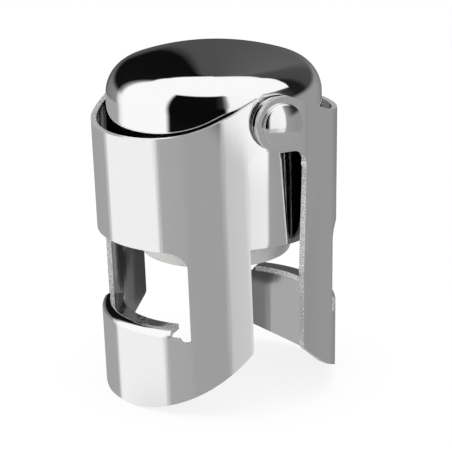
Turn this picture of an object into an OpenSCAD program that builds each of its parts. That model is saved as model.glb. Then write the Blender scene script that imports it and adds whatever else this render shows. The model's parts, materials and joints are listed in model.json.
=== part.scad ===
// Champagne stopper: a domed cap on a sprung seal, with two hinged half-shell clamps.
// Millimetres, Z up. The origin is on the ground, under the middle of the cap. The hinge line
// runs along Y, the front clamp hangs on the -X side and the rear clamp on the +X side.

/* [Cap] */
// Outside diameter of the cap
cap_d = 35; // [33:0.5:36]
// Sheet thickness of the cap
cap_t = 0.8; // [0.6:0.1:1]
// Height of the crown above the hinge line
crown_h = 9.3; // [8.5:0.1:12]
// Radius of the crown's low dome
crown_r = 42; // [36:1:60]
// Radius of the rounded edge between crown and wall
crown_edge_r = 5.9; // [4:0.1:7]
// Depth of the cap's lower edge below the hinge line
cap_drop = 20.7; // [19:0.1:23]

/* [Clamps] */
// Sheet thickness of the clamps
clamp_t = 0.9; // [0.7:0.1:1]
// Gap between the cap's wall and the inside of the front clamp beside the hinge
shell_gap = 0.6; // [0.5:0.05:1]
// Distance from the hinge line to the middle of each clamp's half round
shell_offset = 1.2; // [0.8:0.1:2]
// Depth of the clamps' feet below the hinge line
leg_drop = 47.1; // [44:0.1:52]
// Distance from the hinge line to the side edges of the front clamp
front_edge_x = 5.2; // [4.8:0.1:6]
// Distance from the hinge line to the side edges of the rear clamp
rear_edge_x = 4.6; // [4.4:0.1:6]
// Radius of the slot's round corner under the ear
slot_r = 2.6; // [1:0.1:3]
// Depth of the rim at the middle of each clamp below the hinge line
rim_drop = 2.1; // [1:0.1:4]
// Slope of the rim beside the ear, in degrees
rim_slope = 24.6; // [20:0.2:30]
// Radius where the sloping rim runs out level
rim_blend_r = 30; // [15:1:40]
// Radius of the foot's edge, seen from the side
foot_r = 47; // [44:1:60]
// Half width of the level stretch of each foot
foot_flat = 4.5; // [3:0.1:6]
// Height of the foot's edge where it meets the side edge
foot_rise = 10.2; // [8:0.1:12]
// Radius of the leg's lower corner
leg_corner_r = 1.2; // [0.5:0.1:2]
// Angle at which the rear clamp's side wall runs out to its ear, in degrees
flare_deg = 35; // [32:0.5:38]
// Outside radius of the bend between the flared wall and the outer ear
flare_bend_r = 3; // [2:0.1:4]
// Angle of the front clamp inwards from upright as it stands, in degrees
front_swing = 1.8; // [0:0.1:3]
// Angle of the rear clamp inwards from upright as it stands, in degrees
rear_swing = 0.4; // [0:0.1:3]

/* [Windows and lips] */
// Half width of each window
window_half = 14; // [12.5:0.1:14.5]
// Height of the window's top edge above the foot
window_top = 27.2; // [25:0.1:30]
// Radius of the window's top corners
window_r = 2.5; // [1:0.1:4]
// Half width of each lip
lip_half = 12.4; // [10:0.1:12.5]
// Height of the lip's upper face above the foot
lip_top = 14.4; // [12:0.1:17]
// Outside radius of the lip's bend
lip_bend_r = 1.7; // [1.2:0.1:3]
// Width of the lip, from the outside of the shell inwards
lip_w = 3.8; // [3:0.1:4.2]

/* [Hinge] */
// Radius of the ears
ear_r = 4.4; // [4:0.1:5]
// Height by which the sloping rim passes clear of the ear's round
ear_shoulder = 0.4; // [0.1:0.1:0.8]
// Thickness of the washer between the ears
ear_washer_t = 0.8; // [0.5:0.1:1.2]
// Radius of the washers
ear_washer_r = 4.1; // [3.5:0.1:4.4]
// Radius of the rivet's shank
rivet_r = 2; // [1.5:0.1:2.2]
// Radius of the rivet's domed head
rivet_head_r = 3.4; // [3:0.1:3.8]
// Height of the rivet's domed head
rivet_head_h = 1.4; // [1:0.1:2]
// Height of the upright rim of the rivet's head
rivet_rim_h = 0.3; // [0.1:0.1:0.5]
// Radius of the rivet's closed end inside the cap
rivet_tail_r = 2.8; // [2.5:0.1:3.2]
// Thickness of the rivet's closed end
rivet_tail_t = 0.8; // [0.5:0.1:1]
// Thickness of the washer under the closed end
burr_t = 0.5; // [0.3:0.1:0.8]
// Play between the faces of the parts that turn on the rivets
ear_play = 0.05; // [0.03:0.01:0.08]
// Radial play of the clamps on the rivets
pin_play = 0.06; // [0.03:0.01:0.1]

/* [Sleeve and plunger] */
// Width of the plunger's flange beyond its body
flange_w = 0.7; // [0.6:0.1:1]
// Wall of the sleeve's tube
sleeve_wall = 1.3; // [1:0.1:1.5]
// Wall of the plunger
plunger_wall = 1.8; // [1.4:0.1:2.2]
// Sliding gap around the plunger's flange
slide_gap = 0.3; // [0.2:0.05:0.4]
// Height of the sleeve's roof above the hinge line
roof_h = 3; // [2.8:0.1:3.4]
// Thickness of the sleeve's roof
roof_t = 1.8; // [1.2:0.1:2]
// Height of the retaining ring
ring_h = 1.2; // [0.8:0.1:1.6]
// Height of the plunger's flange
flange_h = 2; // [1.5:0.1:3]
// Height of the boss that the seal's screw goes into
screw_boss_h = 3; // [2:0.5:4]
// Wall of that boss around the screw
screw_boss_wall = 1.9; // [1.2:0.1:2.5]

/* [Seal] */
// Outside radius of the seal
seal_r = 12.3; // [11.8:0.1:12.4]
// Depth of the seal's face below the cap
seal_drop = 4.2; // [3.5:0.1:5]
// Height of the seal's skirt
seal_h = 5; // [4.5:0.1:5.5]
// Thickness of the seal's face
seal_t = 2.6; // [2.4:0.1:3]
// Radius of the seal's lower edge
seal_edge_r = 0.6; // [0.3:0.1:1]
// Radius of the washer under the screw's head
seal_washer_r = 4.6; // [4:0.1:5.5]
// Radius of the seal screw's shank
screw_r = 1.5; // [1.2:0.1:1.8]
// Height of the seal screw's head
screw_head_h = 1.2; // [1:0.1:1.3]

/* [Spring] */
// Radius of the spring's wire
wire_r = 0.6; // [0.4:0.05:0.8]
// Mean radius of the spring's coils
coil_r = 7.8; // [6.5:0.1:8.2]
// Number of turns of the spring
coils = 7; // [5:0.5:8]
// Thickness of the steel plate above the spring
spring_plate_t = 0.5; // [0.3:0.1:0.8]

/* [Hidden] */
$fn = 96;

chrome = [0.78, 0.78, 0.80];
steel = [0.62, 0.63, 0.65];
pale_rubber = [0.74, 0.74, 0.73];
white_plastic = [0.90, 0.90, 0.88];

// Reach of the cutting blocks, larger than the whole stopper
reach = 80;
// Length by which a cut runs past a face
margin = 1;
// Overlap that keeps joined solids whole
eps = 0.01;
// Depth by which a straight face lies under the rounds it runs into
sink = 0.004;

// Cap and clamps in plan
cap_r = cap_d / 2;
shell_in_r = cap_r + shell_gap;
shell_r = shell_in_r + clamp_t;
// Faces of the two ears, measured out from the middle along Y
front_ear_out = shell_r;
rear_ear_in = front_ear_out + ear_washer_t + 2 * ear_play;
rear_ear_out = rear_ear_in + clamp_t;
head_seat = rear_ear_out + ear_play;
// Hinge line: the front clamp's foot, turned inwards, just reaches the ground
hinge_z = leg_drop * cos(front_swing) + (shell_offset + shell_r) * sin(front_swing);

// Cap, upwards
cap_z = hinge_z - cap_drop;
crown_z = hinge_z + crown_h;

// Width of the spacer around the rivet, and how far the cap's round wall falls back under it
spacer_rim = 1;
spacer_sag = 0.4;

// Sleeve
plunger_r = seal_r;
flange_r = plunger_r + flange_w;
bore_r = flange_r + slide_gap;
tube_r = bore_r + sleeve_wall;
boss_fit = 0.15;
foot_ring_h = 1.6;
vent_r = 3;
sleeve_z = cap_z + cap_t;
ring_z = sleeve_z + foot_ring_h / 2;
ring_r = bore_r + 0.45;
flange_z = ring_z + ring_h + ear_play;
roof_z = hinge_z + roof_h;
burr_seat = tube_r - 0.2;
burr_r = rivet_tail_r + 0.4;

// Plunger and seal
seal_z = cap_z - seal_drop;
skirt_z = seal_z + seal_h;
seal_in_r = seal_r - plunger_wall;
floor_top = flange_z + plunger_wall - 0.8;
screw_boss_r = screw_r + screw_boss_wall;
washer_t = 0.7;

// Spring and its plate
plate_r = coil_r + wire_r + margin;
spring_low = floor_top + ear_play;
spring_high = roof_z - spring_plate_t - 2 * ear_play;

// Seen from the side, a clamp's outline. X runs from the hinge line, Y stands for height.
rim_line_h = (ear_r + ear_shoulder) / cos(rim_slope);
rim_corner_x = -(rim_line_h + rim_drop) / tan(rim_slope);
rim_tangent = rim_blend_r * tan(rim_slope / 2);

module rim_void() {
    // Above the rim: a level line and a sloping line, and the long arc between them
    difference() {
        polygon([[-reach, reach], [-reach, -rim_drop], [rim_corner_x, -rim_drop],
                 [(ear_r - rim_line_h) / tan(rim_slope), ear_r], [0, ear_r], [0, reach]]);
        difference() {
            polygon([[rim_corner_x - rim_tangent, -rim_drop], [rim_corner_x, -rim_drop - eps],
                     [rim_corner_x + rim_tangent * cos(rim_slope),
                      -rim_drop + rim_tangent * sin(rim_slope)]]);
            translate([rim_corner_x - rim_tangent, rim_blend_r - rim_drop])
                circle(r = rim_blend_r, $fn = 240);
        }
    }
}

module slot_void(edge_x) {
    // Between the side edges, below the ears, with a round corner
    translate([-edge_x, -reach]) square([reach, reach - ear_r - slot_r]);
    translate([slot_r - edge_x, -reach]) square([reach, reach - ear_r]);
    translate([slot_r - edge_x, -ear_r - slot_r]) circle(r = slot_r);
}

module foot_disc(edge_x) {
    // The foot's edge is an arc through the end of its level stretch and the leg's corner
    x1 = -shell_offset - sqrt(shell_r * shell_r - foot_flat * foot_flat);
    x2 = -edge_x;
    half = sqrt((x2 - x1) * (x2 - x1) + foot_rise * foot_rise) / 2;
    tilt = atan2(foot_rise, x2 - x1);
    lift = sqrt(foot_r * foot_r - half * half);
    cx = (x1 + x2) / 2 - lift * sin(tilt);
    cy = -leg_drop + foot_rise / 2 + lift * cos(tilt);
    corner_x = -edge_x - leg_corner_r;
    corner_dx = corner_x - cx;
    corner_reach = foot_r - leg_corner_r + sink;
    corner_y = cy - sqrt(corner_reach * corner_reach - corner_dx * corner_dx);
    corner_dy = corner_y - cy;
    difference() {
        translate([cx, cy]) circle(r = foot_r, $fn = 360);
        difference() {
            polygon([[corner_x, corner_y], [corner_x + corner_dx, corner_y + corner_dy],
                     [reach, corner_y + corner_dy], [reach, corner_y]]);
            translate([corner_x, corner_y]) circle(r = leg_corner_r);
        }
    }
}

module side_outline(edge_x) {
    intersection() {
        difference() {
            union() {
                circle(r = ear_r);
                translate([-reach, -leg_drop]) square([reach, leg_drop + ear_r]);
            }
            rim_void();
            slot_void(edge_x);
        }
        union() {
            foot_disc(edge_x);
            circle(r = ear_r);
        }
    }
}

module window_outline() {
    // Seen from the front: round top corners, and a half-round notch beside each end of the lip
    notch_r = (window_half - lip_half) / 2;
    low = lip_top - lip_bend_r;
    high = window_top;
    translate([-window_half, low])
        square([2 * window_half, high - window_r - low]);
    translate([window_r - window_half, low])
        square([2 * (window_half - window_r), high - low]);
    for (s = [-1, 1]) {
        translate([s * (window_half - window_r), high - window_r]) circle(r = window_r);
        translate([s * (lip_half + notch_r), low]) circle(r = notch_r);
    }
}

module ring_2d(out_r, in_r) {
    difference() {
        circle(r = out_r, $fn = 180);
        circle(r = in_r, $fn = 180);
    }
}

module front_plan() {
    // Half round, with straight ends for the inner ears
    difference() {
        union() {
            translate([-shell_offset, 0]) circle(r = shell_r, $fn = 180);
            translate([-shell_offset, -shell_r]) square([shell_offset + ear_r + margin, 2 * shell_r]);
        }
        translate([-shell_offset, 0]) circle(r = shell_in_r, $fn = 180);
        translate([-shell_offset, -shell_in_r]) square([shell_offset + ear_r + 2 * margin, 2 * shell_in_r]);
    }
}

module rear_outline(inset) {
    // The plan of the rear clamp, filled: a disc, a flared wall, a bend and the outer ear
    disc_r = shell_r - inset;
    bend_r = flare_bend_r - inset;
    half = rear_ear_out - inset;
    bend_y = rear_ear_out - flare_bend_r + sink;
    bend_x = (bend_y * cos(flare_deg) + flare_bend_r - shell_r) / sin(flare_deg) - shell_offset;
    translate([-shell_offset, 0]) circle(r = disc_r, $fn = 180);
    for (s = [-1, 1]) {
        polygon([[-shell_offset, 0],
                 [-shell_offset - (disc_r - sink) * sin(flare_deg),
                  s * (disc_r - sink) * cos(flare_deg)],
                 [bend_x - (bend_r - sink) * sin(flare_deg),
                  s * (bend_y + (bend_r - sink) * cos(flare_deg))],
                 [bend_x, s * bend_y], [bend_x, s * half],
                 [ear_r + margin, s * half], [ear_r + margin, 0]]);
        translate([bend_x, s * bend_y]) circle(r = bend_r);
    }
}

module rear_plan() {
    // Half round, then on each side a flared straight wall, a bend and the straight outer ear
    difference() {
        rear_outline(0);
        rear_outline(clamp_t);
        translate([ear_r + margin / 2, -reach]) square([reach, 2 * reach]);
    }
}

module lip() {
    // The sheet below the window, bent inwards all along the half round
    bend_mid = shell_r - lip_bend_r;
    translate([-shell_offset, 0, lip_top - lip_bend_r - leg_drop]) intersection() {
        rotate_extrude($fn = 180) {
            intersection() {
                translate([bend_mid, 0]) ring_2d(lip_bend_r, lip_bend_r - clamp_t);
                translate([bend_mid, 0]) square(lip_bend_r);
            }
            translate([shell_r - lip_w, lip_bend_r - clamp_t])
                square([bend_mid - shell_r + lip_w + eps, clamp_t]);
        }
        translate([-reach, -lip_half, -margin]) cube([reach, 2 * lip_half, lip_bend_r + 2 * margin]);
    }
}

module clamp_shape(edge_x) {
    // A clamp that hangs upright on the -X side, from a hinge line through the origin
    difference() {
        intersection() {
            translate([0, 0, -leg_drop - margin]) linear_extrude(leg_drop + ear_r + 2 * margin) children();
            rotate([90, 0, 0]) linear_extrude(2 * reach, center = true) side_outline(edge_x);
        }
        translate([-reach, 0, -leg_drop]) rotate([90, 0, 90])
            linear_extrude(reach - shell_offset) window_outline();
        rotate([90, 0, 0]) cylinder(r = rivet_r + pin_play, h = 2 * reach, center = true);
    }
    lip();
}

module front_clamp() {
    color(chrome) translate([0, 0, hinge_z]) rotate([0, -front_swing, 0])
        clamp_shape(front_edge_x) front_plan();
}

module rear_clamp() {
    color(chrome) translate([0, 0, hinge_z]) rotate([0, rear_swing, 0]) rotate([0, 0, 180])
        clamp_shape(rear_edge_x) rear_plan();
}

module cup_section(r, edge_r, dome_r, low) {
    // Half section of a filled cup: low crown, rounded edge, straight wall down to low
    edge_x = r - edge_r;
    dome_z = crown_z - crown_r;
    edge_z = dome_z + sqrt((dome_r - edge_r) * (dome_r - edge_r) - edge_x * edge_x);
    touch_x = edge_x * dome_r / (dome_r - edge_r);
    square([r, edge_z - low]);
    translate([0, edge_z - low]) {
        translate([edge_x, 0]) intersection() {
            circle(r = edge_r);
            translate([-edge_x, 0]) square([r, edge_r]);
        }
        intersection() {
            translate([0, dome_z - edge_z]) circle(r = dome_r, $fn = 360);
            translate([0, -eps]) square([touch_x, reach]);
        }
    }
}

module dome_cap() {
    color(chrome) difference() {
        translate([0, 0, cap_z]) rotate_extrude() cup_section(cap_r, crown_edge_r, crown_r, cap_z);
        translate([0, 0, cap_z]) rotate_extrude()
            cup_section(cap_r - cap_t, crown_edge_r - cap_t, crown_r - cap_t, cap_z);
        translate([0, 0, cap_z - margin]) cylinder(r = cap_r - cap_t, h = 2 * margin);
        translate([0, 0, hinge_z]) rotate([90, 0, 0])
            cylinder(r = rivet_r + ear_play, h = 2 * reach, center = true);
    }
}

module on_side(s) {
    // Places a piece that is drawn along +Z on the hinge line, pointing outwards on side s
    translate([0, 0, hinge_z]) rotate([s < 0 ? 90 : -90, 0, 0]) children();
}

module washer(out_r, hole_r, from, thick) {
    translate([0, 0, from]) difference() {
        cylinder(r = out_r, h = thick);
        translate([0, 0, -margin]) cylinder(r = hole_r, h = thick + 2 * margin);
    }
}

module rivet(s) {
    // Domed head with a short upright rim, shank, and the end closed inside the cap
    dome_h = rivet_head_h - rivet_rim_h;
    dome_r = (rivet_head_r * rivet_head_r + dome_h * dome_h) / (2 * dome_h);
    tail = burr_seat - burr_t - ear_play;
    color(chrome) on_side(s) {
        translate([0, 0, head_seat]) cylinder(r = rivet_head_r, h = rivet_rim_h + eps);
        translate([0, 0, head_seat + rivet_rim_h]) intersection() {
            cylinder(r = rivet_head_r, h = dome_h + margin);
            translate([0, 0, dome_h - dome_r]) sphere(r = dome_r);
        }
        translate([0, 0, tail - eps]) cylinder(r = rivet_r, h = head_seat - tail + 2 * eps);
        translate([0, 0, tail - rivet_tail_t]) cylinder(r = rivet_tail_r, h = rivet_tail_t);
    }
}

module ear_washer(s) {
    color(chrome) on_side(s)
        washer(ear_washer_r, rivet_r + pin_play, front_ear_out + ear_play, ear_washer_t);
}

module spacer(s) {
    // Hollowed at the back to sit on the cap's round wall
    color(steel) difference() {
        on_side(s) washer(rivet_r + spacer_rim, rivet_r + ear_play, cap_r - spacer_sag,
                          shell_gap + spacer_sag - 3 * ear_play);
        translate([0, 0, cap_z]) cylinder(r = cap_r + ear_play / 2, h = cap_drop + crown_h, $fn = 180);
    }
}

module burr(s) {
    color(steel) on_side(s)
        washer(burr_r, rivet_r + ear_play, burr_seat - burr_t, burr_t - ear_play / 2);
}

module inner_sleeve() {
    // A tube with a roof, a ring at its foot, and two bosses that reach the cap's wall
    fit_t = cap_t + boss_fit;
    color(white_plastic) difference() {
        union() {
            translate([0, 0, sleeve_z]) cylinder(r = tube_r, h = roof_z + roof_t - sleeve_z);
            translate([0, 0, sleeve_z]) cylinder(r = cap_r - fit_t, h = foot_ring_h);
            intersection() {
                translate([0, 0, hinge_z]) rotate([90, 0, 0])
                    cylinder(r = ear_r, h = 2 * cap_r, center = true);
                translate([0, 0, sleeve_z]) rotate_extrude()
                    cup_section(cap_r - fit_t, crown_edge_r - fit_t, crown_r - fit_t, sleeve_z);
            }
        }
        translate([0, 0, sleeve_z - margin]) cylinder(r = bore_r, h = roof_z - sleeve_z + margin);
        translate([0, 0, ring_z]) cylinder(r = ring_r + ear_play, h = ring_h);
        translate([0, 0, hinge_z]) rotate([90, 0, 0]) {
            cylinder(r = rivet_r + ear_play, h = 2 * reach, center = true);
            cylinder(r = burr_r + boss_fit, h = 2 * burr_seat, center = true);
        }
        translate([0, 0, roof_z - margin]) cylinder(r = vent_r, h = roof_t + 2 * margin);
    }
}

module retaining_ring() {
    color(white_plastic) translate([0, 0, ring_z + ear_play / 2]) difference() {
        cylinder(r = ring_r, h = ring_h - ear_play);
        translate([0, 0, -margin]) cylinder(r = plunger_r + slide_gap, h = ring_h + 2 * margin);
    }
}

module plunger() {
    // A cup whose flange rests on the retaining ring, with a spigot for the seal
    color(white_plastic) difference() {
        union() {
            translate([0, 0, skirt_z]) cylinder(r = plunger_r, h = flange_z - skirt_z + eps);
            translate([0, 0, flange_z]) cylinder(r = flange_r, h = flange_h);
            translate([0, 0, seal_z + seal_t])
                cylinder(r = seal_in_r - ear_play, h = seal_h - seal_t + eps);
        }
        translate([0, 0, floor_top]) cylinder(r = plate_r + slide_gap, h = reach);
        translate([0, 0, seal_z]) cylinder(r = screw_r + ear_play, h = floor_top - seal_z + margin);
    }
    color(white_plastic) translate([0, 0, floor_top - eps]) difference() {
        cylinder(r = screw_boss_r, h = screw_boss_h);
        translate([0, 0, -margin]) cylinder(r = screw_r + ear_play, h = screw_boss_h + 2 * margin);
    }
}

module seal() {
    // Soft cup over the spigot, with a rounded lower edge and a recess for washer and screw
    color(pale_rubber) difference() {
        union() {
            translate([0, 0, seal_z + seal_edge_r]) cylinder(r = seal_r, h = seal_h - seal_edge_r);
            translate([0, 0, seal_z]) cylinder(r = seal_r - seal_edge_r, h = seal_h);
            translate([0, 0, seal_z + seal_edge_r]) rotate_extrude()
                translate([seal_r - seal_edge_r, 0]) circle(r = seal_edge_r);
        }
        translate([0, 0, seal_z + seal_t - ear_play]) cylinder(r = seal_in_r, h = seal_h);
        translate([0, 0, seal_z - margin])
            cylinder(r = seal_washer_r + slide_gap, h = margin + washer_t + screw_head_h);
        translate([0, 0, seal_z - margin]) cylinder(r = screw_r + ear_play, h = seal_h);
    }
}

module seal_washer() {
    color(steel) translate([0, 0, seal_z + screw_head_h - ear_play]) difference() {
        cylinder(r = seal_washer_r, h = washer_t);
        translate([0, 0, -margin]) cylinder(r = screw_r + ear_play, h = washer_t + 2 * margin);
    }
}

module seal_screw() {
    head_r = 2 * screw_r;
    recess_l = head_r;
    recess_w = head_r / 5;
    color(steel) translate([0, 0, seal_z]) difference() {
        union() {
            translate([0, 0, 2 * ear_play])
                cylinder(r1 = head_r - recess_w, r2 = head_r, h = screw_head_h - 4 * ear_play);
            cylinder(r = screw_r, h = floor_top + screw_boss_h - margin - seal_z);
        }
        for (a = [0, 90]) rotate([0, 0, a]) translate([-recess_l / 2, -recess_w / 2, -margin])
            cube([recess_l, recess_w, margin + 0.6 * screw_head_h]);
    }
}

module spring_plate() {
    color(steel) translate([0, 0, roof_z - spring_plate_t - ear_play]) difference() {
        cylinder(r = plate_r, h = spring_plate_t);
        translate([0, 0, -margin]) cylinder(r = vent_r, h = spring_plate_t + 2 * margin);
    }
}

// Height along the spring: closed for three quarters of a turn at each end, even between
function coil_z(turn) =
    let (closed = 0.75, low = spring_low + wire_r, high = spring_high - wire_r,
         end_rise = closed * 2 * wire_r * 1.05, open = coils - 2 * closed,
         open_rise = high - low - 2 * end_rise)
    turn < closed ? low + end_rise * turn / closed
    : turn < coils - closed ? low + end_rise + open_rise * (turn - closed) / open
    : high - end_rise * (coils - turn) / closed;

module pressure_spring() {
    // Round wire wound on a helix
    steps = 18;
    sides = 8;
    rings = coils * steps;
    points = [for (i = [0 : rings], k = [0 : sides - 1])
        let (turn = i / steps, a = 360 * turn, b = 360 * k / sides, r = coil_r + wire_r * cos(b))
        [r * cos(a), r * sin(a), coil_z(turn) + wire_r * sin(b)]];
    walls = [for (i = [0 : rings - 1], k = [0 : sides - 1])
        let (n = (k + 1) % sides)
        [i * sides + k, i * sides + n, (i + 1) * sides + n, (i + 1) * sides + k]];
    low_end = [for (k = [sides - 1 : -1 : 0]) k];
    high_end = [for (k = [0 : sides - 1]) rings * sides + k];
    color(steel) polyhedron(points = points, faces = concat(walls, [low_end, high_end]));
}

dome_cap();
front_clamp();
rear_clamp();
rivet(-1);  // near_rivet
rivet(1);  // far_rivet
ear_washer(-1);  // near_ear_washer
ear_washer(1);  // far_ear_washer
spacer(-1);  // near_spacer
spacer(1);  // far_spacer
burr(-1);  // near_burr
burr(1);  // far_burr
inner_sleeve();
plunger();
retaining_ring();
seal();
seal_washer();
seal_screw();
spring_plate();
pressure_spring();
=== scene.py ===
"""Champagne stopper: chromed cap and clamps, rivets, seal and spring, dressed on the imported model."""

import json
from math import cos, pi, radians, sin, sqrt, tan
from typing import NamedTuple

import bpy
import numpy as np
from bpy.props import FloatProperty, FloatVectorProperty, IntProperty, PointerProperty
from mathutils import Matrix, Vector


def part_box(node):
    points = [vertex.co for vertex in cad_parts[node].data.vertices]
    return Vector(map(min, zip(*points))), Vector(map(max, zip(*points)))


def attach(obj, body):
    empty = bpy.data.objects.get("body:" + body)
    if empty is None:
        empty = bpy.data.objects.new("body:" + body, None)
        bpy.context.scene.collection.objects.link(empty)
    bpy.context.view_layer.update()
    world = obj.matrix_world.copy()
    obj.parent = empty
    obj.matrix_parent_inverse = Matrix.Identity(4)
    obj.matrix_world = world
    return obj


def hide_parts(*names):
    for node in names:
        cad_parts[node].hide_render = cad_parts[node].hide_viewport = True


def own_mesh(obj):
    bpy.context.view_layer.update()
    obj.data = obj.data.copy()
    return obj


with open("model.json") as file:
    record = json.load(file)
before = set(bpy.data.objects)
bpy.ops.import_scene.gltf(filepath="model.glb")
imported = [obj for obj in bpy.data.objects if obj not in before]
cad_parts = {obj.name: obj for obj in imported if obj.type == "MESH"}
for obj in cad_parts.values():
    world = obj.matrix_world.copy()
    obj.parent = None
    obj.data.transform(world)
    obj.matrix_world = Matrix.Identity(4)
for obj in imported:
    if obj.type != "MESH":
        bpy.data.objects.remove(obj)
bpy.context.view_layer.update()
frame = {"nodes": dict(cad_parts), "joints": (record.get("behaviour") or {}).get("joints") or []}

bl_info = {
    "name": "Champagne Stopper",
    "version": (1, 0, 0),
    "blender": (4, 5, 0),
    "location": "3D View > Sidebar > Stopper",
    "description": "Dresses a champagne stopper: polished metal, seal and spring, with a studio",
    "category": "Object",
}

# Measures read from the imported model, in metres
HINGE_Z = next(j["pos_m"][2] for j in frame["joints"] if j["name"] == "front_hinge")
CAP_LOW, CAP_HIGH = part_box("dome_cap")
SEAL_LOW, SEAL_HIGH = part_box("seal")
SPRING_LOW, SPRING_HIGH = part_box("pressure_spring")
RIVET_LOW, RIVET_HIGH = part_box("far_rivet")
MM = 0.001
# The grain to which places are rounded when points are merged
SAME_PLACE = 1e-8


class StopperSizes(bpy.types.PropertyGroup):
    """Sizes of the stopper's polished pieces."""

    cap_diameter: FloatProperty(
        name="Cap diameter", description="Outside diameter of the cap", default=CAP_HIGH[0] - CAP_LOW[0],
        min=0.03, max=0.04, unit="LENGTH")
    cap_wall: FloatProperty(
        name="Cap wall", description="Sheet thickness of the cap", default=0.8 * MM, min=0.0005, max=0.002,
        unit="LENGTH")
    crown_radius: FloatProperty(
        name="Crown radius", description="Radius of the crown's low dome", default=42 * MM, min=0.03,
        max=0.08, unit="LENGTH")
    crown_edge: FloatProperty(
        name="Crown edge", description="Radius of the rounded edge between crown and wall",
        default=5.9 * MM, min=0.003, max=0.008, unit="LENGTH")
    clamp_sheet: FloatProperty(
        name="Clamp sheet", description="Sheet thickness of the clamps", default=0.9 * MM, min=0.0005,
        max=0.002, unit="LENGTH")
    clamp_radius: FloatProperty(
        name="Clamp radius", description="Outside radius of the clamps' half round", default=19 * MM,
        min=0.015, max=0.025, unit="LENGTH")
    clamp_offset: FloatProperty(
        name="Clamp offset", description="Distance from the hinge line to the middle of the half round",
        default=1.2 * MM, min=0.0, max=0.004, unit="LENGTH")
    leg_drop: FloatProperty(
        name="Leg drop", description="Depth of the clamps' feet below the hinge line", default=47.1 * MM,
        min=0.04, max=0.06, unit="LENGTH")
    ear_radius: FloatProperty(
        name="Ear radius", description="Radius of the clamps' ears", default=4.4 * MM, min=0.003,
        max=0.006, unit="LENGTH")
    rear_ear: FloatProperty(
        name="Outer ear", description="Distance from the middle to the outer ears' outside faces",
        default=20.8 * MM, min=0.018, max=0.024, unit="LENGTH")
    flare: FloatProperty(
        name="Flare", description="Angle at which the rear clamp's wall runs out to its ears",
        default=radians(35), min=radians(20), max=radians(50), unit="ROTATION")
    rivet_head: FloatProperty(
        name="Rivet head", description="Radius of the rivets' domed heads", default=3.4 * MM, min=0.002,
        max=0.005, unit="LENGTH")
    edge_round: FloatProperty(
        name="Edge round", description="Width of the rounding on the sheet metal's edges", default=0.11 * MM,
        min=0.0, max=0.0003, unit="LENGTH")
    seal_radius: FloatProperty(
        name="Seal radius", description="Outside radius of the seal",
        default=(SEAL_HIGH[0] - SEAL_LOW[0]) / 2, min=0.01, max=0.014, unit="LENGTH")
    spring_turns: IntProperty(
        name="Spring turns", description="Number of turns of the spring", default=7, min=4, max=10)


class StopperFinish(bpy.types.PropertyGroup):
    """Colours and gloss of the stopper's materials."""

    chrome: FloatVectorProperty(
        name="Chrome", description="Colour of the chrome plating", subtype="COLOR", size=3,
        default=(0.90, 0.90, 0.905), min=0.0, max=1.0)
    steel: FloatVectorProperty(
        name="Steel", description="Colour of the plain steel pieces", subtype="COLOR", size=3,
        default=(0.52, 0.52, 0.53), min=0.0, max=1.0)
    rubber: FloatVectorProperty(
        name="Seal rubber", description="Colour of the seal", subtype="COLOR", size=3,
        default=(0.74, 0.74, 0.73), min=0.0, max=1.0)
    plastic: FloatVectorProperty(
        name="Plastic", description="Colour of the moulded pieces inside the cap", subtype="COLOR", size=3,
        default=(0.76, 0.76, 0.74), min=0.0, max=1.0)
    polish: FloatProperty(
        name="Polish roughness", description="Roughness of the polished chrome", default=0.035, min=0.0,
        max=0.3, subtype="FACTOR")


class StopperStudio(bpy.types.PropertyGroup):
    """The camera's place and the studio's light."""

    camera_azimuth: FloatProperty(
        name="Camera azimuth", description="Direction of the camera round the stopper, 0 looks along +Y",
        default=radians(-30.44), unit="ROTATION")
    camera_elevation: FloatProperty(
        name="Camera elevation", description="Angle of the camera above the floor", default=radians(16.55),
        unit="ROTATION")
    camera_roll: FloatProperty(
        name="Camera roll", description="Turn of the picture about its middle", default=radians(-0.8),
        unit="ROTATION")
    camera_distance: FloatProperty(
        name="Camera distance", description="Distance from the camera to the middle of the view",
        default=320.9 * MM, unit="LENGTH")
    camera_lens: FloatProperty(
        name="Lens", description="Focal length for a 36 mm wide sensor, in millimetres", default=155.28)
    floor_size: FloatProperty(
        name="Floor size", description="Side of the square floor", default=6.0, unit="LENGTH")


# Shapes worked out as arrays


def arc(centre, radius, start, end, steps):
    """Points on a circle in the profile plane: centre plus radius at equal angles, in degrees, 0 along +r."""
    a = np.radians(np.linspace(start, end, steps + 1))
    return np.stack([centre[0] + radius * np.cos(a), centre[1] + radius * np.sin(a)], axis=1)


def line(a, b, steps=1):
    """Points at equal distances on the straight line from a to b, in the profile plane."""
    t = np.linspace(0, 1, steps + 1)[:, None]
    return (1 - t) * np.asarray(a, float) + t * np.asarray(b, float)


def joined(*runs):
    """One profile from several runs of points, without the points where two runs meet twice."""
    p = np.concatenate(runs)
    keep = np.ones(len(p), bool)
    keep[1:] = np.linalg.norm(np.diff(p, axis=0), axis=1) > SAME_PLACE
    return p[keep]


def mirrored(s):
    """Places from 0 upwards, with the same places below 0 in front of them."""
    return np.concatenate([-s[:0:-1], s])


def grid_faces(rows, columns, first=0):
    """Quads of a grid of points that is stored row by row, facing along (next row) x (next column)."""
    i, j = np.meshgrid(np.arange(rows - 1), np.arange(columns - 1), indexing="ij")
    a = (first + i * columns + j).ravel()
    return np.stack([a, a + columns, a + columns + 1, a + 1], axis=1)


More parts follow.
